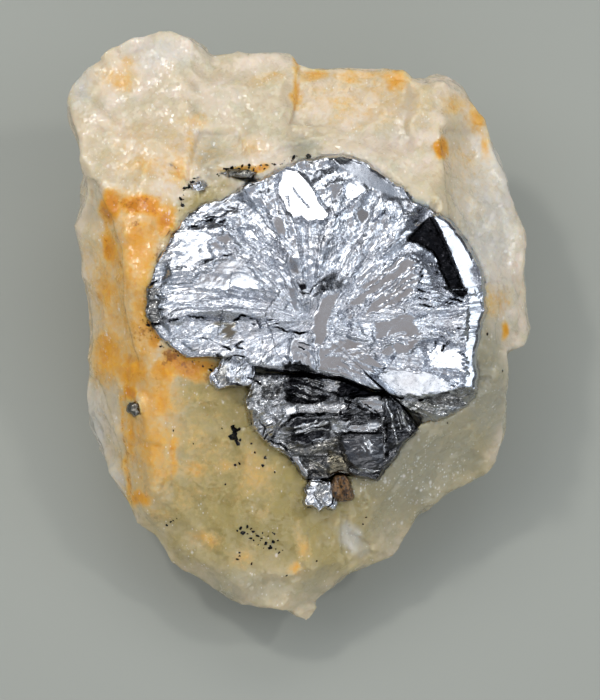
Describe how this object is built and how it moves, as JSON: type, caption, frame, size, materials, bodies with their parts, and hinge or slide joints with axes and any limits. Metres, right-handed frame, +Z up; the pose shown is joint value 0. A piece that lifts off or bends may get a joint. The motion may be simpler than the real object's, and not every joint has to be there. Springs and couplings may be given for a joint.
{
  "type": "molybdenite specimen",
  "caption": "Mineral specimen: a bright crumpled molybdenite rosette and a darker book of plates, grown on a broken piece of milky, iron-stained quartz.",
  "frame": {"origin": "on the broken face that the stone rests on, near its middle", "axes": "+Z up, +Y to the back, away from the eye; the face with the rosette points up and leans 15 degrees towards -Y"},
  "size_m": [0.0414, 0.0512, 0.0253],
  "materials": {
    "milky_quartz": "broken, translucent, iron-stained",
    "bright_molybdenite": "crumpled mirror-bright plates",
    "dark_molybdenite": "layered dark silver",
    "brown_mica": "satin, flaky"
  },
  "bodies": {
    "root": {"quartz_matrix": "milky_quartz", "molybdenite_rosette": "bright_molybdenite", "molybdenite_lower_book": "dark_molybdenite", "molybdenite_tip_crystal": "bright_molybdenite", "molybdenite_left_knob": "bright_molybdenite", "mica_book": "brown_mica", "molybdenite_edge_flake_left": "bright_molybdenite", "molybdenite_edge_flake_right": "bright_molybdenite", "molybdenite_stray_flake": "dark_molybdenite"}
  },
  "joints": []
}
